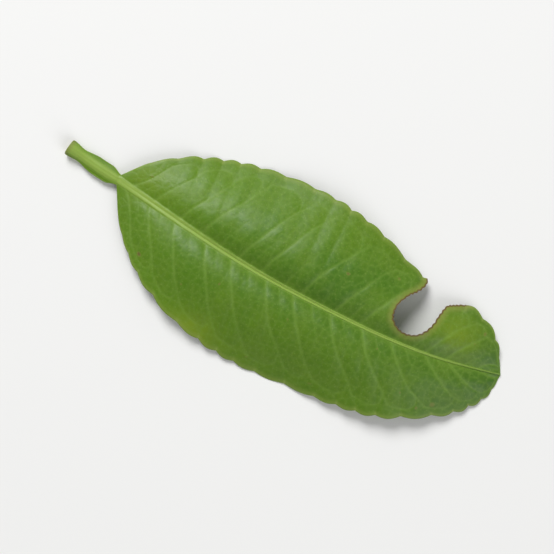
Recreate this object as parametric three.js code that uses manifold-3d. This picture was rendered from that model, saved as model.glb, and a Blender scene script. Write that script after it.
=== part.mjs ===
// One lime leaf, picked with its petiole and lying glossy side up on a table.
//
// Units are millimetres and +Z is up. +X runs from the cut end of the petiole to the leaf's tip, and +Y is
// the side of the half-blade that a caterpillar has bitten. The leaf grew as one piece, so petiole, midrib
// and blade are one closed solid. It is a cylinder whose rings are drawn out into the leaf's cross-sections:
// each ring runs over the upper face from the -Y margin to the +Y margin and comes back along the underside.
// The bite is then cut out of it, and the whole leaf is moved to stand on the middle of its footprint.
import * as THREE from "three";
import { mergeVertices } from "three/addons/utils/BufferGeometryUtils.js";
import Module from "manifold-3d";

// The leaf's lines, in the middle of its thickness. The first runs from the cut end to the joint, where the
// blade starts. The other three run from the joint to the tip, and their points belong together one by one.
const PETIOLE = [
  [0, 0.4, 1.0],
  [3, -0.15, 0.78],
  [6, -0.65, 0.8],
  [9, -1, 0.95],
];
const MIDRIB = [
  [9, -1, 0.95],
  [13.6, -1.75, 1.55],
  [18.6, -2.6, 2.3],
  [24.2, -3.5, 3.1],
  [30.2, -4.35, 3.7],
  [36.4, -5, 4.1],
  [42.6, -5.35, 4.25],
  [48.8, -5.55, 4.15],
  [54.6, -5.6, 3.8],
  [60, -5.4, 3.2],
  [65, -4.95, 2.4],
  [69.8, -4.2, 1.4],
  [74.5, -3.3, 0.15],
];
const WHOLE_MARGIN = [
  [9, -1.8, 0.95],
  [12.2, -7.4, 1.1],
  [17.2, -12.4, 1.6],
  [23.6, -16, 2],
  [30.6, -18.1, 1.2],
  [37.8, -18.9, 0.3],
  [45, -18.7, 0.1],
  [52.2, -18.3, 1.2],
  [59.2, -17.2, 2.2],
  [65.4, -14.6, 1.9],
  [70.6, -11.4, 0.8],
  [73.9, -7.3, 0.2],
  [74.5, -3.3, 0.15],
];
const BITTEN_MARGIN = [
  [9, -0.2, 0.95],
  [12.6, 3.6, 1.3],
  [17.6, 6.8, 1.1],
  [23.6, 9, 0.1],
  [30, 10.2, 0.4],
  [36.6, 10.5, 1.7],
  [43.2, 9.9, 2.6],
  [49.6, 8.3, 2.2],
  [55.6, 5.9, 1],
  [61.2, 4.5, 0.15],
  [66.8, 4, 1],
  [71.4, 1.5, 1.1],
  [74.5, -3.3, 0.15],
];
const SWELL_HEIGHT = 1.5; // of the widest half-blade above the line from midrib to margin

// The rounded teeth of both margins, which fade towards the joint and the tip
const TEETH = 22;
const TOOTH_DEPTH = 0.4;
const TOOTH_WANDER = 0.25; // how far a tooth strays from even spacing, as a share of a tooth

// The blade and the stalk, which is the petiole and, further on, the midrib
const BLADE_THICKNESS = 0.36;
const EDGE_THICKNESS = 0.22;
const STALK_RADIUS = { cutEnd: 1.15, petiole: 0.88, joint: 0.72, tip: 0.16 };
const KEEL_SHARE = 1.05; // depth of the stalk's round underside as a share of its radius
const RIDGE_HEIGHT = { cutEnd: 0.66, petiole: 0.34, blade: 0.14 }; // of the stalk above the upper face
const WING_WIDTH = 0.42; // of the narrow wing on each side of the petiole

// The bitten notch in plan: from beyond the margin in towards the midrib and back. The blade curls up
// beside it.
const BITE = [
  [57.6, 9],
  [57.8, 6.5],
  [58.3, 4.5],
  [57.5, 2.9],
  [56.3, 1.5],
  [55.4, -0.4],
  [55.5, -2.3],
  [56.9, -3.5],
  [58.7, -3.7],
  [60.3, -2.9],
  [61.4, -1.2],
  [61.9, 0.9],
  [62.5, 2.7],
  [63.9, 3.5],
  [65.4, 4.4],
  [66.2, 6.2],
  [66.2, 9],
];
const BITE_SIDES = 60;
const CUTTER_HEIGHT = 20;
const LIP_CURL = { x: 59, y: 0.5, height: 1, reach: 6 };

// Fineness of the solid
const PETIOLE_RINGS = 14;
const RINGS_PER_TOOTH = 4;
const RINGS = PETIOLE_RINGS + TEETH * RINGS_PER_TOOTH;
const STALK_POINTS = 2; // on one face, from the middle of the stalk to its edge
const HALF_POINTS = 9; // on one face, from the middle of the stalk to the margin
const FACE_POINTS = 2 * HALF_POINTS + 1;

const LEAF_GREEN = new THREE.Color(0.1, 0.22, 0.03);

const { clamp, lerp, smoothstep } = THREE.MathUtils;
const curveThrough = (points) =>
  new THREE.CatmullRomCurve3(points.map((p) => new THREE.Vector3(...p)), false, "catmullrom");
const petiole = curveThrough(PETIOLE);
const midrib = curveThrough(MIDRIB);
const margins = { [-1]: curveThrough(WHOLE_MARGIN), 1: curveThrough(BITTEN_MARGIN) };
const widest = Math.max(
  ...MIDRIB.map(([x, y], i) => Math.hypot(x - WHOLE_MARGIN[i][0], y - WHOLE_MARGIN[i][1])),
);

// A station is one place along the leaf: the stalk's middle, radius and ridge, and the margin on each side.
function petioleStation(share) {
  const middle = petiole.getPoint(share);
  const ahead = petiole.getTangent(share);
  const { cutEnd, petiole: slim, joint } = STALK_RADIUS;
  const swelling = (cutEnd - slim) * (1 - smoothstep(share, 0, 0.3));
  const narrowing = (slim - joint) * smoothstep(share, 0.75, 1);
  const radius = slim + swelling - narrowing;
  const wing = WING_WIDTH * smoothstep(share, 0.2, 0.55) * (1 - smoothstep(share, 0.8, 1));
  const aside = new THREE.Vector3(-ahead.y, ahead.x, 0).setLength(radius + wing + 0.08);
  const margin = { [-1]: middle.clone().sub(aside), 1: middle.clone().add(aside) };
  const flattening = (RIDGE_HEIGHT.cutEnd - RIDGE_HEIGHT.petiole) * smoothstep(share, 0, 0.35);
  const lowering = (RIDGE_HEIGHT.petiole - RIDGE_HEIGHT.blade) * smoothstep(share, 0.6, 1);
  return { middle, radius, ridge: RIDGE_HEIGHT.cutEnd - flattening - lowering, margin };
}

function bladeStation(share) {
  const middle = midrib.getPoint(share);
  const radius = lerp(STALK_RADIUS.joint, STALK_RADIUS.tip, share ** 0.7);
  const fade = smoothstep(share, 0.04, 0.2) * (1 - smoothstep(share, 0.92, 1));
  const toothed = (side) => {
    const edge = margins[side].getPoint(share);
    const passed = TEETH * share + side * TOOTH_WANDER * Math.sin(8 * Math.PI * share);
    const tooth = TOOTH_DEPTH * fade * (Math.abs(Math.sin(Math.PI * passed)) - 0.6);
    return edge.add(edge.clone().sub(middle).setLength(tooth));
  };
  const margin = { [-1]: toothed(-1), 1: toothed(1) };
  return { middle, radius, ridge: RIDGE_HEIGHT.blade, margin };
}

const stations = Array.from({ length: RINGS + 1 }, (_, i) =>
  i < PETIOLE_RINGS
    ? petioleStation(i / PETIOLE_RINGS)
    : bladeStation((i - PETIOLE_RINGS) / (RINGS - PETIOLE_RINGS)),
);

// How much the blade curls up beside the bite.
function lipCurl({ x, y }) {
  const away = Math.hypot(x - LIP_CURL.x, y - LIP_CURL.y) / LIP_CURL.reach;
  return LIP_CURL.height * Math.exp(-(away ** 2));
}

// A point of the surface: step counts from the middle of the stalk outwards, from 0 to HALF_POINTS.
function surfacePoint({ middle, radius, ridge, margin }, side, step, isUpper) {
  const width = middle.distanceTo(margin[side]);
  const beyond = (step - STALK_POINTS) / (HALF_POINTS - STALK_POINTS);
  const stalkEdge = Math.min(radius, width);
  const distance = beyond > 0 ? lerp(stalkEdge, width, beyond) : (stalkEdge * step) / STALK_POINTS;
  const across = width > 0 ? distance / width : 0;
  const point = middle.clone().lerp(margin[side], across);
  point.z = lerp(middle.z, margin[side].z, across ** 2);
  point.z += SWELL_HEIGHT * (width / widest) ** 2 * 6.75 * across * (1 - across) ** 2;
  point.z += lipCurl(point);

  const half = lerp(BLADE_THICKNESS, EDGE_THICKNESS, across ** 4) / 2;
  const roundness = Math.sqrt(Math.max(0, 1 - (distance / radius) ** 2));
  const above = half + ridge * roundness;
  const below = half + (KEEL_SHARE * radius - half) * roundness;
  point.z = isUpper ? Math.max(point.z + above, EDGE_THICKNESS) : Math.max(point.z - below, 0);
  return point;
}

// A corner of a ring: corners are numbered over the upper face and back along the underside.
function ringCorner(ring, corner) {
  const isUpper = corner < FACE_POINTS;
  const step = isUpper ? corner - HALF_POINTS : HALF_POINTS + FACE_POINTS - corner;
  return surfacePoint(stations[ring], step < 0 ? -1 : 1, Math.abs(step), isUpper);
}

function leafGeometry() {
  const corners = 2 * FACE_POINTS;
  const geometry = new THREE.CylinderGeometry(1, 1, 1, corners, RINGS);
  const position = geometry.getAttribute("position");
  const vertex = new THREE.Vector3();
  for (let i = 0; i < position.count; i++) {
    vertex.fromBufferAttribute(position, i);
    const ring = Math.round((0.5 - vertex.y) * RINGS);
    const turn = Math.atan2(vertex.x, vertex.z) / (2 * Math.PI);
    const corner = (Math.round(turn * corners) + corners) % corners;
    const isCapMiddle = Math.hypot(vertex.x, vertex.z) < 0.5;
    const place = isCapMiddle
      ? ringCorner(ring, HALF_POINTS).lerp(ringCorner(ring, HALF_POINTS + FACE_POINTS), 0.5)
      : ringCorner(ring, corner);
    position.setXYZ(i, place.x, place.y, place.z);
  }
  return geometry;
}

function biteGeometry() {
  const corners = BITE.map(([x, y]) => new THREE.Vector3(x, y, 0));
  const outline = new THREE.CatmullRomCurve3(corners, true, "catmullrom").getPoints(BITE_SIDES);
  return new THREE.ExtrudeGeometry(new THREE.Shape(outline), {
    depth: CUTTER_HEIGHT,
    bevelEnabled: false,
  }).translate(0, 0, -CUTTER_HEIGHT / 2);
}

const wasm = await Module();
wasm.setup();

function solidOf(geometry) {
  const bare = new THREE.BufferGeometry()
    .setIndex(geometry.index)
    .setAttribute("position", geometry.getAttribute("position"));
  const merged = mergeVertices(bare, 1e-4);
  const vertProperties = merged.getAttribute("position").array;
  const triVerts = new Uint32Array(merged.index.array);
  return new wasm.Manifold(new wasm.Mesh({ numProp: 3, vertProperties, triVerts }));
}

function geometryOf(solid) {
  const { vertProperties, triVerts } = solid.getMesh();
  return new THREE.BufferGeometry()
    .setAttribute("position", new THREE.BufferAttribute(vertProperties, 3))
    .setIndex(new THREE.BufferAttribute(triVerts, 1));
}

const geometry = geometryOf(solidOf(leafGeometry()).subtract(solidOf(biteGeometry())));
geometry.computeBoundingBox();
const footprint = geometry.boundingBox.getCenter(new THREE.Vector3()).setZ(geometry.boundingBox.min.z);
geometry.translate(-footprint.x, -footprint.y, -footprint.z);
geometry.computeVertexNormals();

const leaf = new THREE.Mesh(
  geometry,
  new THREE.MeshStandardMaterial({ color: LEAF_GREEN, roughness: 0.45, metalness: 0 }),
);
leaf.name = "lime_leaf";

const limeLeaf = new THREE.Group();
limeLeaf.add(leaf);

export default limeLeaf;
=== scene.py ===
import math

import bmesh
import bpy
import numpy as np
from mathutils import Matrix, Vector, kdtree, noise


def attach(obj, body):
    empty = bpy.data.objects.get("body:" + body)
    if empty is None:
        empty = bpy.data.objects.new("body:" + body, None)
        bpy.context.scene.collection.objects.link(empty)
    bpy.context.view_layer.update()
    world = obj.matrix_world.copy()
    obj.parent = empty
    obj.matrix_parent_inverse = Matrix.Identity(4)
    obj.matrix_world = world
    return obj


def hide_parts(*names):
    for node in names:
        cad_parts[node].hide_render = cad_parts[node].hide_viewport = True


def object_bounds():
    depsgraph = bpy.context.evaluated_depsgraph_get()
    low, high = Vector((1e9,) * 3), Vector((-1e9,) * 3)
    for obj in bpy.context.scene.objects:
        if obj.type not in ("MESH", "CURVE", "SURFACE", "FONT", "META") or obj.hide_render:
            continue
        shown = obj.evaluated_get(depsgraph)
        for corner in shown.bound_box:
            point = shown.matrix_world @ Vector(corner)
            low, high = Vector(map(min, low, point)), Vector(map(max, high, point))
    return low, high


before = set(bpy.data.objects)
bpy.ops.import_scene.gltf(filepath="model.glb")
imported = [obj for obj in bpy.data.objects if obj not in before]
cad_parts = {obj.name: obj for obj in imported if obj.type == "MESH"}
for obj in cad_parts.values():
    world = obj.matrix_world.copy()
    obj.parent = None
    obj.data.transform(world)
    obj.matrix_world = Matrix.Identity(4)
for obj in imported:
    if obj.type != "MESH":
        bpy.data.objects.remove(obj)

# One lime leaf lying glossy side up. The leaf is worked out in millimetres along its own lines, as
# it grew, and moved to its place in the frame when its mesh is made.
CAD_LOW, CAD_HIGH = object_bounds()
MM = 0.001
RNG = np.random.default_rng(7)

# ---------------------------------------------------------------- the leaf's lines
# The petiole runs from the cut end to the joint. The midrib and both margins run on to the tip, and
# their points belong together one by one.
PETIOLE = [(0, 0.4, 1.0), (3, -0.15, 0.78), (6, -0.65, 0.8), (9, -1, 0.95)]
MIDRIB = [
    (9, -1, 0.95), (13.6, -1.75, 1.55), (18.6, -2.6, 2.3), (24.2, -3.5, 3.1), (30.2, -4.35, 3.7),
    (36.4, -5, 4.1), (42.6, -5.35, 4.25), (48.8, -5.55, 4.15), (54.6, -5.6, 3.8), (60, -5.4, 3.2),
    (65, -4.95, 2.4), (69.8, -4.2, 1.4), (74.5, -3.3, 0.15),
]
WHOLE_MARGIN = [
    (9, -1.8, 0.95), (12.2, -7.4, 1.1), (17.2, -12.4, 1.6), (23.6, -16, 2), (30.6, -18.1, 1.2),
    (37.8, -18.9, 0.3), (45, -18.7, 0.1), (52.2, -18.3, 1.2), (59.2, -17.2, 2.2),
    (65.4, -14.6, 1.9), (70.6, -11.4, 0.8), (73.9, -7.3, 0.2), (74.5, -3.3, 0.15),
]
BITTEN_MARGIN = [
    (9, -0.2, 0.95), (12.6, 3.6, 1.3), (17.6, 6.8, 1.1), (23.6, 9, 0.1), (30, 10.2, 0.4),
    (36.6, 10.5, 1.7), (43.2, 9.9, 2.6), (49.6, 8.3, 2.2), (55.6, 5.9, 1), (61.2, 4.5, 0.15),
    (66.8, 4, 1), (71.4, 1.5, 1.1), (74.5, -3.3, 0.15),
]
# The bitten notch in plan, from beyond the margin in towards the midrib and back
BITE = [
    (57.6, 9), (57.8, 6.5), (58.3, 4.5), (57.5, 2.9), (56.3, 1.5), (55.4, -0.4), (55.5, -2.3),
    (56.9, -3.5), (58.7, -3.7), (60.3, -2.9), (61.4, -1.2), (61.9, 0.9), (62.5, 2.7), (63.9, 3.5),
    (65.4, 4.4), (66.2, 6.2), (66.2, 9),
]
SWELL_HEIGHT = 1.5  # of the widest half-blade above the line from midrib to margin
SWELL_SHARE = 6.75  # brings the swelling's shape to a height of 1
LIP_X, LIP_Y, LIP_HEIGHT, LIP_REACH = 59, 0.5, 1.0, 6.0  # the blade curls up beside the bite

# The rounded teeth of both margins
TEETH = 22
TOOTH_DEPTH = 0.4
TOOTH_WANDER = 0.25  # how far a tooth strays from even spacing, as a share of a tooth
TOOTH_SIZES = (0.65, 1.3)  # the smallest and largest, as shares of the depth

# The blade and the stalk, which is the petiole and, further on, the midrib
BLADE_THICKNESS = 0.36
EDGE_THICKNESS = 0.22
STALK = {"cut_end": 1.15, "petiole": 0.88, "joint": 0.72, "tip": 0.16}  # its radius
RIDGE = {"cut_end": 0.66, "petiole": 0.34, "blade": 0.14}  # its height above the upper face
KEEL_SHARE = 1.05  # depth of its round underside as a share of its radius
WING_WIDTH = 0.42  # of the narrow wing on each side of the petiole
JOINT_X = 9.0

# Veins
SIDE_VEINS = 13  # on each side of the midrib
FIRST_VEIN, LAST_VEIN = 0.03, 0.93  # where they leave the midrib, as shares of its length
NET_SPACING = 1.25  # between the islands of blade that the finest veins enclose
NET_WIDTH = 0.16
BESIDE_REACH = 1.15  # of the paler blade along the midrib

# Relief of the upper face and of the underside
PILLOW_HEIGHT, PILLOW_HOLLOW, PILLOW_REACH = 0.10, 0.05, 1.3  # the blade between the side veins
VEIN_GROOVE, VEIN_RIDGE = 0.07, 0.15
NET_GROOVE, NET_RIDGE = 0.02, 0.035
GRAIN_UPPER, GRAIN_UNDER = 0.006, 0.01
CHANNEL_DEPTH, CHANNEL_REACH = 0.16, 1.7  # the hollow along the midrib
COLLAR_HEIGHT, COLLAR_REACH = 0.07, 0.3  # round the joint
FLUTE_DEPTH = 0.035  # of the grooves along the petiole
SCAR_RIM, SCAR_PIT = 0.05, 0.04
RIM_REACH = 0.07  # how far the rim rounds out beyond the edges of both faces

# Blemishes
SCARS = 16
# x and y of the middle, how far it reaches along and across, and how yellow it gets
YELLOW_PATCHES = [
    (28.5, -17.5, 5, 3, 0.75),
    (65.5, -0.5, 4, 3, 0.6),
    (13, 1, 5, 4, 0.35),
]

# Fineness of the mesh
PETIOLE_RINGS = 40
BLADE_RINGS = 344
STALK_STEPS = 7  # on one face, from the middle of the stalk to its edge
HALF_STEPS = 58  # on one face, from the middle of the stalk to the margin
FACE_STEPS = 2 * HALF_STEPS + 1
BITE_SIDES = 300
MOUTHFULS = 41  # small ripples round the bite's outline

# Points and edges closer than these are one, in metres
SAME_PLACE, NO_LENGTH = 1e-7, 1e-8
SAME_AT_CUT, NO_LENGTH_AT_CUT = 6e-6, 4e-6


def smoothstep(x, low, high):
    s = np.clip((x - low) / (high - low), 0, 1)
    return s * s * (3 - 2 * s)


def lerp(a, b, s):
    return a + (b - a) * s


def along(points, share, closed=False):
    """Points on the smooth curve through the given ones, at shares of the way along it."""
    p = np.array(points, float)
    n = len(p) if closed else len(p) - 1
    if closed:
        p = np.vstack([p[-1], p, p[0], p[1]])
    else:
        p = np.vstack([2 * p[0] - p[1], p, 2 * p[-1] - p[-2]])
    s = np.clip(np.asarray(share, float), 0, 1) * n
    i = np.minimum(s.astype(int), n - 1)
    f = (s - i)[..., None]
    before, a, b, after = p[i], p[i + 1], p[i + 2], p[i + 3]
    leave, arrive = (b - before) / 2, (after - a) / 2
    return (
        (2 * f**3 - 3 * f**2 + 1) * a
        + (f**3 - 2 * f**2 + f) * leave
        + (3 * f**2 - 2 * f**3) * b
        + (f**3 - f**2) * arrive
    )


def field(x, y, scale, seed):
    """Smooth noise from about -1 to 1, with features of about the given size."""
    places = zip(x.ravel() / scale + seed, y.ravel() / scale - seed)
    return np.array([noise.noise(Vector((a, b, seed * 0.37))) for a, b in places]).reshape(x.shape)


# ---------------------------------------------------------------- stations along the leaf
petiole_share = np.arange(PETIOLE_RINGS) / PETIOLE_RINGS
blade_share = np.linspace(0, 1, BLADE_RINGS + 1)
tooth_size = RNG.uniform(*TOOTH_SIZES, (2, TEETH + 1))


def petiole_station(share):
    middle = along(PETIOLE, share)
    ahead = along(PETIOLE, share + 1e-3) - along(PETIOLE, share - 1e-3)
    ahead[share < 1e-3] = (along(PETIOLE, share + 2e-3) - along(PETIOLE, share))[share < 1e-3]
    swelling = (STALK["cut_end"] - STALK["petiole"]) * (1 - smoothstep(share, 0, 0.3))
    narrowing = (STALK["petiole"] - STALK["joint"]) * smoothstep(share, 0.75, 1)
    radius = STALK["petiole"] + swelling - narrowing
    wing = WING_WIDTH * smoothstep(share, 0.2, 0.55) * (1 - smoothstep(share, 0.8, 1))
    aside = np.stack([-ahead[:, 1], ahead[:, 0], np.zeros(len(share))], 1)
    aside *= ((radius + wing + 0.08) / np.linalg.norm(aside, axis=1))[:, None]
    flattening = (RIDGE["cut_end"] - RIDGE["petiole"]) * smoothstep(share, 0, 0.35)
    lowering = (RIDGE["petiole"] - RIDGE["blade"]) * smoothstep(share, 0.6, 1)
    ridge = RIDGE["cut_end"] - flattening - lowering
    return middle, radius, ridge, middle - aside, middle + aside


def teeth_passed(share, side):
    """How many teeth lie between the joint and a place; side is -1 for whole, 1 for bitten."""
    return TEETH * share + side * TOOTH_WANDER * np.sin(8 * math.pi * share)


def toothed(line, middle, share, side):
    edge = along(line, share)
    passed = teeth_passed(share, side)
    out = edge - middle
    length = np.maximum(np.linalg.norm(out, axis=1), 1e-9)
    fade = smoothstep(share, 0.04, 0.2) * (1 - smoothstep(share, 0.92, 1))
    size = np.interp(passed, np.arange(TEETH + 1), tooth_size[(side + 1) // 2])
    tooth = TOOTH_DEPTH * fade * (np.abs(np.sin(math.pi * passed)) - 0.6) * size
    return edge + out * (tooth / length)[:, None]


def blade_station(share):
    middle = along(MIDRIB, share)
    radius = lerp(STALK["joint"], STALK["tip"], share**0.7)
    ridge = np.full(len(share), RIDGE["blade"])
    whole = toothed(WHOLE_MARGIN, middle, share, -1)
    bitten = toothed(BITTEN_MARGIN, middle, share, 1)
    return middle, radius, ridge, whole, bitten


stations = zip(petiole_station(petiole_share), blade_station(blade_share))
middle, radius, ridge, whole_edge, bitten_edge = (np.concatenate(pair) for pair in stations)
ring_share = np.concatenate([petiole_share - 1, blade_share])  # below 0 on the petiole
RINGS = len(ring_share)
widest = max(math.dist(a[:2], b[:2]) for a, b in zip(MIDRIB, WHOLE_MARGIN))


def half_sheet(edge):
    """The middle of the thickness from midrib to margin: x, y, z, distance and share of width."""
    width = np.linalg.norm(edge - middle, axis=1)[:, None]
    step = np.arange(HALF_STEPS + 1)[None, :]
    stalk_edge = np.minimum(radius[:, None], width)
    beyond = np.clip((step - STALK_STEPS) / (HALF_STEPS - STALK_STEPS), 0, 1)
    inner = np.clip(step / STALK_STEPS, 0, 1)
    distance = np.where(step > STALK_STEPS, lerp(stalk_edge, width, beyond), stalk_edge * inner)
    across = distance / np.maximum(width, 1e-9)
    x = lerp(middle[:, :1], edge[:, :1], across)
    y = lerp(middle[:, 1:2], edge[:, 1:2], across)
    z = lerp(middle[:, 2:], edge[:, 2:], across**2)
    z = z + SWELL_HEIGHT * (width / widest) ** 2 * SWELL_SHARE * across * (1 - across) ** 2
    z = z + LIP_HEIGHT * np.exp(-(((x - LIP_X) ** 2 + (y - LIP_Y) ** 2) / LIP_REACH**2))
    return x, y, z, distance, across


def joined(whole, bitten):
    """One row from the whole margin over the midrib to the bitten margin."""
    return np.concatenate([whole[:, ::-1], bitten[:, 1:]], axis=1)


halves = [half_sheet(whole_edge), half_sheet(bitten_edge)]
sheet_x, sheet_y, sheet_z, distance, across = (joined(a, b) for a, b in zip(*halves))
side = np.concatenate([-np.ones(HALF_STEPS), np.ones(HALF_STEPS + 1)])[None, :]
side = side * np.ones((RINGS, 1))
share = ring_share[:, None] * np.ones((1, FACE_STEPS))


# ---------------------------------------------------------------- veins
def plan(share, a, on_side):
    """Where a place on the blade, given by its shares along and across, lies in plan."""
    m = along(MIDRIB, share)
    e = along(WHOLE_MARGIN if on_side < 0 else BITTEN_MARGIN, share)
    return (m + (e - m) * np.asarray(a)[:, None])[:, :2]


def lean(start):
    """How far towards the tip a side vein leans by the time it reaches the margin."""
    return 0.135 - 0.07 * start


def vein_share(start, a):
    """Where along the leaf a side vein is, at a share of the way across."""
    return start + lean(start) * a**1.3


def side_veins(on_side):
    """Samples of the side veins and the loops that join them: plan places and half-widths."""
    starts = np.linspace(FIRST_VEIN, LAST_VEIN, SIDE_VEINS) + RNG.uniform(-0.012, 0.012, SIDE_VEINS)
    places, widths = [], []

    def lay(s, a, w):
        inside = s < 0.995
        places.append(plan(s[inside], a[inside], on_side))
        widths.append(w[inside])

    for k, start in enumerate(starts):
        reach = 0.83 + RNG.uniform(-0.03, 0.03)
        a = np.linspace(0, reach, 220)
        wobble = 0.004 * np.sin(a * 9 + RNG.uniform(0, 6))
        lay(vein_share(start, a) + wobble * a, a, lerp(0.27, 0.17, a / reach))
        if k + 1 < len(starts):
            nxt = starts[k + 1]
            gap = nxt - start
            q = np.linspace(0, 1, 120)
            from_s, to_s = vein_share(start, reach), vein_share(nxt, 0.7)
            s = (1 - q) ** 2 * from_s + 2 * q * (1 - q) * (from_s + 0.75 * gap) + q**2 * to_s
            a = (1 - q) ** 2 * reach + 2 * q * (1 - q) * 0.95 + q**2 * 0.7
            lay(s, a, np.full(120, 0.15))
            short = 0.35 + RNG.uniform(-0.08, 0.12)
            a = np.linspace(0, short, 100)
            between = start + gap * (0.5 + RNG.uniform(-0.1, 0.1))
            lay(vein_share(between, a), a, lerp(0.15, 0.08, a / short))
    return np.vstack(places), np.concatenate(widths)


def nearest(places):
    """A tree that finds the nearest of the given places in plan."""
    tree = kdtree.KDTree(len(places))
    for i, p in enumerate(places):
        tree.insert((p[0], p[1], 0), i)
    tree.balance()
    return tree


def vein_strength():
    """How much each point is on a side vein, and how far it is from the nearest one."""
    strength = np.zeros_like(sheet_x)
    gap = np.full_like(sheet_x, 9.0)
    for on_side in (-1, 1):
        places, widths = side_veins(on_side)
        tree = nearest(places)
        for r, c in zip(*np.nonzero((side == on_side) & (share >= 0))):
            _, i, d = tree.find((sheet_x[r, c], sheet_y[r, c], 0))
            strength[r, c] = math.exp(-((d / widths[i]) ** 2)) * min(1, widths[i] / 0.22)
            gap[r, c] = d
    return strength, gap


def net_strength():
    """The net of finest veins: the borders between small islands of blade."""
    spots = [
        (x + RNG.uniform(-0.5, 0.5), y + RNG.uniform(-0.5, 0.5))
        for x in np.arange(7, 77, NET_SPACING)
        for y in np.arange(-21, 13, NET_SPACING)
    ]
    tree = nearest(spots)
    strength = np.zeros_like(sheet_x)
    for r, c in zip(*np.nonzero(share >= 0)):
        (a, _, d1), (b, _, d2) = tree.find_n((sheet_x[r, c], sheet_y[r, c], 0), 2)
        border = (d2 * d2 - d1 * d1) / (2 * (a - b).length)
        strength[r, c] = math.exp(-((border / NET_WIDTH) ** 2))
    return strength


vein, vein_gap = vein_strength()
net = net_strength()
blade = smoothstep(share, 0.0, 0.05) * (1 - smoothstep(across, 0.9, 1.0))
rib = np.exp(-((distance / (radius[:, None] * 0.95)) ** 4))
beside = np.exp(-((distance / BESIDE_REACH) ** 2)) * blade
roundness = np.sqrt(np.clip(1 - (distance / radius[:, None]) ** 2, 0, None))
half = lerp(BLADE_THICKNESS, EDGE_THICKNESS, across**4) / 2


def blemishes(count):
    """Small rusty scars, as weather and insects leave them: strength at each point."""
    scars = np.zeros_like(sheet_x)
    ragged = 1 + 0.5 * field(sheet_x, sheet_y, 0.3, 7.7)
    for _ in range(count):
        r = RNG.integers(PETIOLE_RINGS + 20, RINGS - 30)
        c = HALF_STEPS + RNG.choice([-1, 1]) * RNG.integers(STALK_STEPS + 8, HALF_STEPS - 2)
        size, stretch = RNG.uniform(0.12, 0.45), RNG.uniform(0.35, 1)
        turn = RNG.uniform(0, math.pi)
        dx, dy = sheet_x - sheet_x[r, c], sheet_y - sheet_y[r, c]
        u = dx * math.cos(turn) + dy * math.sin(turn)
        v = (dy * math.cos(turn) - dx * math.sin(turn)) / stretch
        scar = np.exp(-(((u * u + v * v) * ragged / size**2) ** 1.5)) * RNG.uniform(0.35, 0.9)
        scars = np.maximum(scars, scar)
    return scars


def yellowing():
    """Patches where the blade has gone yellower: strength at each point."""
    strength = np.zeros_like(sheet_x)
    for x, y, reach_x, reach_y, most in YELLOW_PATCHES:
        away = ((sheet_x - x) / reach_x) ** 2 + ((sheet_y - y) / reach_y) ** 2
        strength = np.maximum(strength, most * np.exp(-away))
    return strength * (1 + 0.35 * field(sheet_x, sheet_y, 1.6, 2.9))


scars = blemishes(SCARS)
yellow = yellowing()

# ---------------------------------------------------------------- the two faces
waves = field(sheet_x, sheet_y, 9.0, 3.1) * 0.16 + field(sheet_x, sheet_y, 3.6, 8.4) * 0.06
waves = waves * smoothstep(across * (share >= 0), 0.1, 0.5)
pillow = np.clip(1 - np.exp(-((vein_gap / PILLOW_REACH) ** 2)), 0, 1) * blade * (1 - rib)
grain = field(sheet_x, sheet_y, 0.7, 5.5)
channel = np.exp(-((distance / CHANNEL_REACH) ** 2)) * (share >= 0) * smoothstep(share, 0, 0.1)
collar = np.exp(-(((sheet_x - JOINT_X) / COLLAR_REACH) ** 2)) * COLLAR_HEIGHT
fluting = FLUTE_DEPTH * np.sin(distance * 9) * (share < 0) * (across > 0.15)

middle_z = sheet_z + waves
upper_z = middle_z + half + ridge[:, None] * roundness
upper_z += (
    PILLOW_HEIGHT * pillow
    - VEIN_GROOVE * vein * blade * (1 - rib)
    - NET_GROOVE * net * blade * (1 - rib)
    + GRAIN_UPPER * grain
)
upper_z -= CHANNEL_DEPTH * channel * (1 - 0.55 * rib) + collar - fluting
upper_z += SCAR_RIM * np.sin(scars * math.pi) - SCAR_PIT * scars
lower_z = middle_z - half - (KEEL_SHARE * radius[:, None] - half) * roundness
lower_z -= (
    VEIN_RIDGE * vein * blade * (1 - rib)
    + NET_RIDGE * net * blade * (1 - rib)
    - PILLOW_HOLLOW * pillow
)
lower_z += collar * 0.8 + fluting - GRAIN_UNDER * grain
lower_z = np.maximum(lower_z, 0)
upper_z = np.maximum(upper_z, lower_z + EDGE_THICKNESS * 0.8)
# The tip is one point on each face.
upper_z[-1], lower_z[-1] = upper_z[-1].mean(), lower_z[-1].mean()


# ---------------------------------------------------------------- one closed mesh
def looped(upper, lower, rim_end, rim_start):
    """One row round the leaf: the upper face, a rim, back along the underside, the other rim."""
    return np.concatenate([upper, rim_end[:, None], lower[:, ::-1], rim_start[:, None]], axis=1)


def rim(column, inner):
    """The outermost line of the rim, a little beyond the edges of both faces."""
    step_x = sheet_x[:, column] - sheet_x[:, inner]
    step_y = sheet_y[:, column] - sheet_y[:, inner]
    step = np.stack([step_x, step_y], 1)
    step /= np.maximum(np.linalg.norm(step, axis=1), 1e-9)[:, None]
    out = RIM_REACH * (np.abs(ring_share) < 0.999)  # none at the cut end and the tip
    z = (upper_z[:, column] + lower_z[:, column]) / 2
    return sheet_x[:, column] + step[:, 0] * out, sheet_y[:, column] + step[:, 1] * out, z


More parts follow.
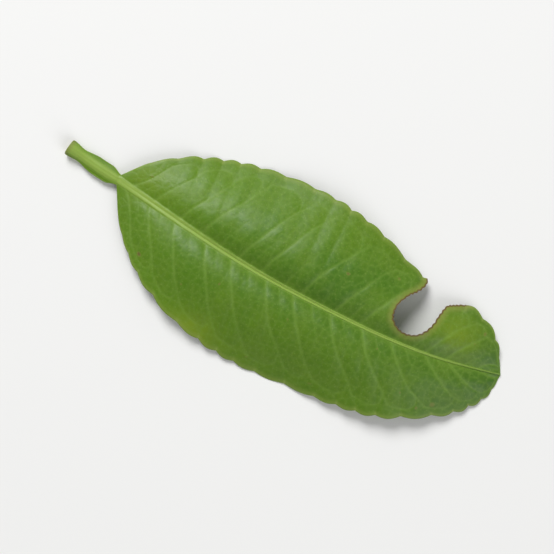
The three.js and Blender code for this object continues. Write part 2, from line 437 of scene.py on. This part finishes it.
end_x, end_y, end_z = rim(-1, -2)
start_x, start_y, start_z = rim(0, 1)
place = np.stack(
    [
        looped(sheet_x, sheet_x, end_x, start_x),
        looped(sheet_y, sheet_y, end_y, start_y),
        looped(upper_z, lower_z, end_z, start_z),
    ],
    axis=2,
)
sinus = np.clip(1 - np.abs(np.sin(math.pi * teeth_passed(share, side))) / 0.16, 0, 1)
sinus *= (share > 0.1) * (share < 0.97)
sinus = sinus * smoothstep(across, 0.945, 0.99)
ones, nought = np.ones_like(sheet_x), np.zeros_like(sheet_x)
marks = {
    "under": looped(nought, ones, ones[:, 0] * 0.5, ones[:, 0] * 0.5),
    "rib": looped(rib, rib, rib[:, -1], rib[:, 0]),
    "vein": looped(vein * blade, vein * blade, nought[:, 0], nought[:, 0]),
    "net": looped(net * blade, net * blade, nought[:, 0], nought[:, 0]),
    "margin": looped(across, across, ones[:, 0], ones[:, 0]),
    "share": looped(share, share, share[:, 0], share[:, 0]),
    "sinus": looped(sinus, sinus, sinus[:, -1], sinus[:, 0]),
    "scar": looped(scars, nought, nought[:, 0], nought[:, 0]),
    "beside": looped(beside, nought, beside[:, -1], beside[:, 0]),
    "yellow": looped(yellow, yellow * 0.5, yellow[:, -1], yellow[:, 0]),
}

# The cut end is closed by rings that shrink to its middle, a little hollow.
cut_middle = place[0].mean(axis=0)
cap_shares = np.array([0.0, 0.12, 0.25, 0.38, 0.5, 0.62, 0.74, 0.85, 0.94])
cap = lerp(cut_middle, place[:1], cap_shares[:, None, None])
fibre = field(cap[..., 1], cap[..., 2], 0.35, 6.6) * 0.06 * (cap_shares > 0.3)[:, None]
cap[..., 0] += 0.16 * (1 - cap_shares[:, None] ** 4) + fibre
place = np.concatenate([cap, place])
marks = {k: np.concatenate([np.repeat(v[:1], len(cap), axis=0), v]) for k, v in marks.items()}
marks["cut"] = np.zeros_like(marks["rib"])
marks["cut"][: len(cap)] = 1 - cap_shares[:, None]

place[..., 2] = np.maximum(place[..., 2], 0)
raw_low, raw_high = place.reshape(-1, 3).min(0), place.reshape(-1, 3).max(0)
cad_middle = (np.array(CAD_LOW) + np.array(CAD_HIGH)) / 2 / MM
shift = np.array([*(cad_middle[:2] - (raw_low[:2] + raw_high[:2]) / 2), 0])


def leaf_mesh():
    """A grid rolled up into the leaf: one way along it, the other way round its section."""
    rings, loop = place.shape[:2]
    bm = bmesh.new()
    bmesh.ops.create_grid(bm, x_segments=rings - 1, y_segments=loop, size=1)
    layers = {name: bm.verts.layers.float.new(name) for name in marks}
    for v in bm.verts:
        r = round((v.co.x + 1) / 2 * (rings - 1))
        c = round((v.co.y + 1) / 2 * loop) % loop
        v.co = (place[r, c] + shift) * MM
        for name, layer in layers.items():
            v[layer] = marks[name][r, c]
    bmesh.ops.remove_doubles(bm, verts=bm.verts, dist=SAME_PLACE)
    bmesh.ops.dissolve_degenerate(bm, edges=bm.edges, dist=NO_LENGTH)
    bmesh.ops.recalc_face_normals(bm, faces=bm.faces)
    mesh = bpy.data.meshes.new("lime_leaf_blade")
    bm.to_mesh(mesh)
    bm.free()
    return mesh


def bite_cutter():
    """A tall plug with the outline of the bite, its wall rippled by small mouthfuls."""
    share = np.arange(BITE_SIDES) / BITE_SIDES
    line = along(BITE, share, closed=True)
    ahead = np.roll(line, -1, axis=0) - np.roll(line, 1, axis=0)
    out = np.stack([ahead[:, 1], -ahead[:, 0]], 1) / np.linalg.norm(ahead, axis=1)[:, None]
    turn = share * MOUTHFULS * math.pi + 1.6 * field(line[:, 0], line[:, 1], 1.9, 4.7)
    size = 0.14 + 0.1 * field(line[:, 0], line[:, 1], 1.3, 9.2)
    ripple = size * np.abs(np.sin(turn)) + 0.04 * field(line[:, 0], line[:, 1], 0.4, 2.2)
    line = line - out * (ripple - 0.06)[:, None]
    bm = bmesh.new()
    bmesh.ops.create_cone(bm, cap_ends=True, segments=BITE_SIDES, radius1=1, radius2=1, depth=30)
    for v in bm.verts:
        k = round(math.atan2(v.co.y, v.co.x) / (2 * math.pi) * BITE_SIDES) % BITE_SIDES
        v.co = ((line[k][0] + shift[0]) * MM, (line[k][1] + shift[1]) * MM, v.co.z * MM)
    bmesh.ops.recalc_face_normals(bm, faces=bm.faces)
    mesh = bpy.data.meshes.new("bite_cutter")
    bm.to_mesh(mesh)
    bm.free()
    cutter = bpy.data.objects.new("bite_cutter", mesh)
    bpy.context.collection.objects.link(cutter)
    return cutter, line


def take_out(leaf, cutter):
    """Cut the plug out of the leaf, and give the leaf the mesh that is left."""
    cut = leaf.modifiers.new("bite", "BOOLEAN")
    cut.operation = "DIFFERENCE"
    cut.solver = "MANIFOLD"
    cut.object = cutter
    finished = leaf.evaluated_get(bpy.context.evaluated_depsgraph_get())
    mesh = bpy.data.meshes.new_from_object(finished)
    leaf.modifiers.clear()
    leaf.data = mesh
    bpy.data.objects.remove(cutter)
    return mesh


def weld(mesh):
    """Join the points that the cut leaves almost on top of each other.

    Two faces may then lie on the same corners with nothing between them, and both go, so that the
    leaf stays closed.
    """
    bm = bmesh.new()
    bm.from_mesh(mesh)
    bmesh.ops.remove_doubles(bm, verts=bm.verts, dist=SAME_AT_CUT)
    bmesh.ops.dissolve_degenerate(bm, edges=bm.edges, dist=NO_LENGTH_AT_CUT)
    bmesh.ops.triangulate(bm, faces=bm.faces)
    on_same_corners = {}
    for face in bm.faces:
        on_same_corners.setdefault(frozenset(face.verts), []).append(face)
    folds = [face for faces in on_same_corners.values() if len(faces) > 1 for face in faces]
    bmesh.ops.delete(bm, geom=folds, context="FACES")
    bm.to_mesh(mesh)
    bm.free()


def mark_distance_from_bite(mesh, line):
    """Store how far each point is from the bite's line in plan, in millimetres."""
    tree = nearest(line)
    torn = mesh.attributes.new("torn", "FLOAT", "POINT")
    from_bite = np.zeros(len(mesh.vertices))
    for v in mesh.vertices:
        _, _, d = tree.find((v.co.x / MM - shift[0], v.co.y / MM - shift[1], 0))
        from_bite[v.index] = d
    torn.data.foreach_set("value", from_bite)


leaf = bpy.data.objects.new("lime_leaf_blade", leaf_mesh())
bpy.context.collection.objects.link(leaf)
cutter, bite_line = bite_cutter()
bitten_mesh = take_out(leaf, cutter)
weld(bitten_mesh)
mark_distance_from_bite(bitten_mesh, bite_line)
bitten_mesh.shade_smooth()
bitten_mesh.set_sharp_from_angle(angle=math.radians(60))


# ---------------------------------------------------------------- material
def leaf_material():
    mat = bpy.data.materials.new("lime_leaf_tissue")
    mat.use_nodes = True
    nodes, links = mat.node_tree.nodes, mat.node_tree.links
    shader = nodes["Principled BSDF"]

    def node(kind, **settings):
        n = nodes.new(kind)
        for key, value in settings.items():
            setattr(n, key, value)
        return n

    def join(a, b):
        links.new(a, b)

    coords = node("ShaderNodeTexCoord").outputs["Object"]

    def mark(name):
        return node("ShaderNodeAttribute", attribute_name=name).outputs["Fac"]

    def noise_at(size, detail):
        n = node("ShaderNodeTexNoise")
        n.inputs["Scale"].default_value = 1 / size
        n.inputs["Detail"].default_value = detail
        n.inputs["Roughness"].default_value = 0.55
        join(coords, n.inputs["Vector"])
        return n.outputs["Fac"]

    def ranged(value, from_low, from_high, to_low, to_high):
        n = node("ShaderNodeMapRange", interpolation_type="SMOOTHSTEP")
        join(value, n.inputs["Value"])
        n.inputs["From Min"].default_value, n.inputs["From Max"].default_value = from_low, from_high
        n.inputs["To Min"].default_value, n.inputs["To Max"].default_value = to_low, to_high
        return n.outputs["Result"]

    def math_of(operation, a, b):
        n = node("ShaderNodeMath", operation=operation)
        for socket, v in zip(n.inputs, (a, b)):
            if isinstance(v, (int, float)):
                socket.default_value = v
            else:
                join(v, socket)
        return n.outputs["Value"]

    def blend(amount, a, b):
        n = node("ShaderNodeMix", data_type="RGBA")
        for socket, v in zip((n.inputs[0], n.inputs[6], n.inputs[7]), (amount, a, b)):
            if isinstance(v, (int, float)):
                socket.default_value = v
            elif isinstance(v, tuple):
                socket.default_value = (*v, 1)
            else:
                join(v, socket)
        return n.outputs[2]

    under, rib_m, vein_m, net_m, margin_m, share_m = map(
        mark, ("under", "rib", "vein", "net", "margin", "share")
    )
    cut_m, torn_m, sinus_m, scar_m = map(mark, ("cut", "torn", "sinus", "scar"))
    yellow_m, beside_m = mark("yellow"), mark("beside")
    broad, middling, fine = noise_at(0.016, 2), noise_at(0.0035, 4), noise_at(0.0006, 3)

    # upper face: two greens in broad patches, lighter at the margin and at the base, darker with
    # painted shade beside the midrib, darker at the tip, mottled, yellow in patches, and then the
    # veins over it
    upper = blend(ranged(broad, 0.38, 0.62, 0, 1), (0.056, 0.154, 0.007), (0.088, 0.192, 0.007))
    upper = blend(ranged(margin_m, 0.55, 0.98, 0, 0.35), upper, (0.122, 0.225, 0.008))
    # painted shade of the fold along the midrib: the blade darkens towards the midrib
    upper = blend(ranged(margin_m, 0.05, 0.45, 0.3, 0), upper, (0.036, 0.114, 0.008))
    upper = blend(ranged(share_m, 0.1, 0.75, 0.5, 0), upper, (0.125, 0.25, 0.008))
    upper = blend(ranged(share_m, 0.5, 1.0, 0, 0.5), upper, (0.042, 0.122, 0.014))
    upper = blend(ranged(middling, 0.35, 0.7, 0, 0.5), upper, (0.114, 0.215, 0.009))
    upper = blend(ranged(fine, 0.4, 0.75, 0, 0.22), upper, (0.045, 0.115, 0.01))
    upper = blend(yellow_m, upper, (0.19, 0.28, 0.012))
    upper = blend(math_of("MULTIPLY", net_m, 0.26), upper, (0.17, 0.29, 0.045))
    upper = blend(math_of("MULTIPLY", vein_m, 0.42), upper, (0.19, 0.32, 0.05))
    upper = blend(ranged(margin_m, 0.93, 1.0, 0, 0.55), upper, (0.24, 0.32, 0.06))
    rib_fade = ranged(share_m, 0.72, 1.0, 0.9, 0.45)
    upper = blend(math_of("MULTIPLY", beside_m, 0.32), upper, (0.17, 0.3, 0.03))
    upper = blend(math_of("MULTIPLY", rib_m, rib_fade), upper, (0.275, 0.405, 0.07))

    # underside: paler, with paler veins
    lower = blend(ranged(broad, 0.35, 0.65, 0, 1), (0.165, 0.26, 0.085), (0.215, 0.31, 0.105))
    lower = blend(ranged(fine, 0.4, 0.7, 0, 0.3), lower, (0.12, 0.2, 0.06))
    lower = blend(math_of("MULTIPLY", net_m, 0.3), lower, (0.3, 0.4, 0.16))
    lower = blend(math_of("MULTIPLY", vein_m, 0.6), lower, (0.36, 0.45, 0.17))
    lower = blend(math_of("MULTIPLY", rib_m, 0.85), lower, (0.38, 0.46, 0.16))
    tissue = blend(under, upper, lower)

    # oil glands: tiny round dots, a little lighter than the blade
    glands = node("ShaderNodeTexVoronoi", voronoi_dimensions="2D")
    glands.inputs["Scale"].default_value = 1 / 0.0008
    join(coords, glands.inputs["Vector"])
    dot = ranged(glands.outputs["Distance"], 0.07, 0.2, 1, 0)
    dot = math_of("MULTIPLY", dot, math_of("SUBTRACT", 1, rib_m))
    tissue = blend(math_of("MULTIPLY", dot, 0.16), tissue, (0.24, 0.36, 0.07))

    # pale gaps between the teeth, and scars with a yellow rim
    tissue = blend(math_of("MULTIPLY", sinus_m, 0.6), tissue, (0.28, 0.36, 0.09))
    tissue = blend(ranged(scar_m, 0.1, 0.55, 0, 0.55), tissue, (0.2, 0.2, 0.04))
    tissue = blend(ranged(scar_m, 0.45, 0.85, 0, 0.75), tissue, (0.14, 0.085, 0.03))

    # the bite's dried edge with its yellow halo, then the layers of the petiole's cut end
    tissue = blend(ranged(torn_m, 0.25, 1.3, 0.6, 0), tissue, (0.24, 0.27, 0.05))
    tissue = blend(ranged(torn_m, 0.08, 0.34, 0.95, 0), tissue, (0.13, 0.07, 0.022))
    tissue = blend(ranged(share_m, -1.0, -0.9, 0.55, 0), tissue, (0.2, 0.17, 0.06))
    tissue = blend(ranged(cut_m, 0.0, 0.06, 0, 1), tissue, (0.16, 0.1, 0.04))
    tissue = blend(ranged(cut_m, 0.08, 0.2, 0, 1), tissue, (0.27, 0.3, 0.1))
    tissue = blend(ranged(cut_m, 0.3, 0.42, 0, 0.8), tissue, (0.36, 0.33, 0.17))
    tissue = blend(ranged(cut_m, 0.5, 0.68, 0, 0.9), tissue, (0.46, 0.45, 0.27))
    join(tissue, shader.inputs["Base Color"])

    gloss = math_of("ADD", ranged(middling, 0.3, 0.7, 0.4, 0.54), math_of("MULTIPLY", under, 0.26))
    join(gloss, shader.inputs["Roughness"])
    shader.inputs["Specular IOR Level"].default_value = 0.3
    shader.inputs["Subsurface Weight"].default_value = 0.1
    shader.inputs["Subsurface Radius"].default_value = (0.5, 1.0, 0.2)
    shader.inputs["Subsurface Scale"].default_value = 0.0006

    height = math_of("ADD", math_of("MULTIPLY", fine, 0.5), math_of("MULTIPLY", dot, -0.3))
    bump = node("ShaderNodeBump")
    bump.inputs["Strength"].default_value = 0.35
    bump.inputs["Distance"].default_value = 0.00006
    join(height, bump.inputs["Height"])
    join(bump.outputs["Normal"], shader.inputs["Normal"])
    return mat


leaf.data.materials.clear()
leaf.data.materials.append(leaf_material())
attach(leaf, "root")
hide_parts("lime_leaf")


# ---------------------------------------------------------------- floor, light and camera
SURROUND = (0.9, 0.9, 0.89, 1)
FLOOR_REACH = 2.0
FADE_START, FADE_END = 0.25, 0.9  # how far out the floor turns into the surround
CAMERA_HEIGHT = 0.236
CAMERA_TURN = 25  # degrees, so that the leaf points down to the right


def far_floor_as_pale_as_the_surround(tree):
    """Beyond the lamps' reach the floor fades into the surround, so that no horizon shows."""
    nodes, links = tree.nodes, tree.links
    glow = nodes.new("ShaderNodeEmission")
    glow.inputs["Color"].default_value = SURROUND
    away = nodes.new("ShaderNodeVectorMath")
    away.operation = "LENGTH"
    links.new(nodes.new("ShaderNodeTexCoord").outputs["Object"], away.inputs[0])
    reach = nodes.new("ShaderNodeMapRange")
    reach.interpolation_type = "SMOOTHSTEP"
    reach.inputs["From Min"].default_value = FADE_START
    reach.inputs["From Max"].default_value = FADE_END
    links.new(away.outputs["Value"], reach.inputs["Value"])
    seen = nodes.new("ShaderNodeMath")
    seen.operation = "MULTIPLY"
    links.new(reach.outputs["Result"], seen.inputs[0])
    links.new(nodes.new("ShaderNodeLightPath").outputs["Is Camera Ray"], seen.inputs[1])
    mix = nodes.new("ShaderNodeMixShader")
    links.new(seen.outputs["Value"], mix.inputs[0])
    links.new(nodes["Principled BSDF"].outputs["BSDF"], mix.inputs[1])
    links.new(glow.outputs["Emission"], mix.inputs[2])
    links.new(mix.outputs["Shader"], nodes["Material Output"].inputs["Surface"])


def floor():
    bm = bmesh.new()
    bmesh.ops.create_grid(bm, x_segments=2, y_segments=2, size=FLOOR_REACH)
    mesh = bpy.data.meshes.new("floor")
    bm.to_mesh(mesh)
    bm.free()
    obj = bpy.data.objects.new("floor", mesh)
    bpy.context.collection.objects.link(obj)
    mat = bpy.data.materials.new("floor_paper")
    mat.use_nodes = True
    shader = mat.node_tree.nodes["Principled BSDF"]
    shader.inputs["Base Color"].default_value = (0.86, 0.86, 0.85, 1)
    shader.inputs["Roughness"].default_value = 0.85
    shader.inputs["Specular IOR Level"].default_value = 0.2
    far_floor_as_pale_as_the_surround(mat.node_tree)
    mesh.materials.append(mat)


def lamp(name, where, size, watts):
    light = bpy.data.lights.new(name, "AREA")
    light.shape = "DISK"
    light.size = size
    light.energy = watts
    obj = bpy.data.objects.new(name, light)
    obj.location = where
    obj.rotation_euler = (-Vector(where)).to_track_quat("-Z", "Y").to_euler()
    bpy.context.collection.objects.link(obj)


floor()
lamp("key", (-0.45, 0.5, 0.62), 0.5, 7.6)
lamp("fill", (0.65, -0.35, 0.5), 0.8, 3.2)


def studio_world(light):
    """A white surround that lights the leaf softly and looks as pale as the floor behind it."""
    world = bpy.data.worlds.new("studio")
    world.use_nodes = True
    nodes, links = world.node_tree.nodes, world.node_tree.links
    lighting = nodes["Background"]
    lighting.inputs["Color"].default_value = (1, 1, 1, 1)
    lighting.inputs["Strength"].default_value = light
    backdrop = nodes.new("ShaderNodeBackground")
    backdrop.inputs["Color"].default_value = SURROUND
    path, mix = nodes.new("ShaderNodeLightPath"), nodes.new("ShaderNodeMixShader")
    links.new(path.outputs["Is Camera Ray"], mix.inputs[0])
    links.new(lighting.outputs[0], mix.inputs[1])
    links.new(backdrop.outputs[0], mix.inputs[2])
    links.new(mix.outputs[0], nodes["World Output"].inputs["Surface"])
    bpy.context.scene.world = world


studio_world(light=0.27)
bpy.context.scene.view_settings.view_transform = "Standard"

camera = bpy.data.objects.new("camera", bpy.data.cameras.new("camera"))
camera.data.lens = 100
camera.data.clip_start = 0.01
camera.location = (0, 0, CAMERA_HEIGHT)
camera.rotation_euler = (0, 0, math.radians(CAMERA_TURN))
bpy.context.collection.objects.link(camera)
bpy.context.scene.camera = camera
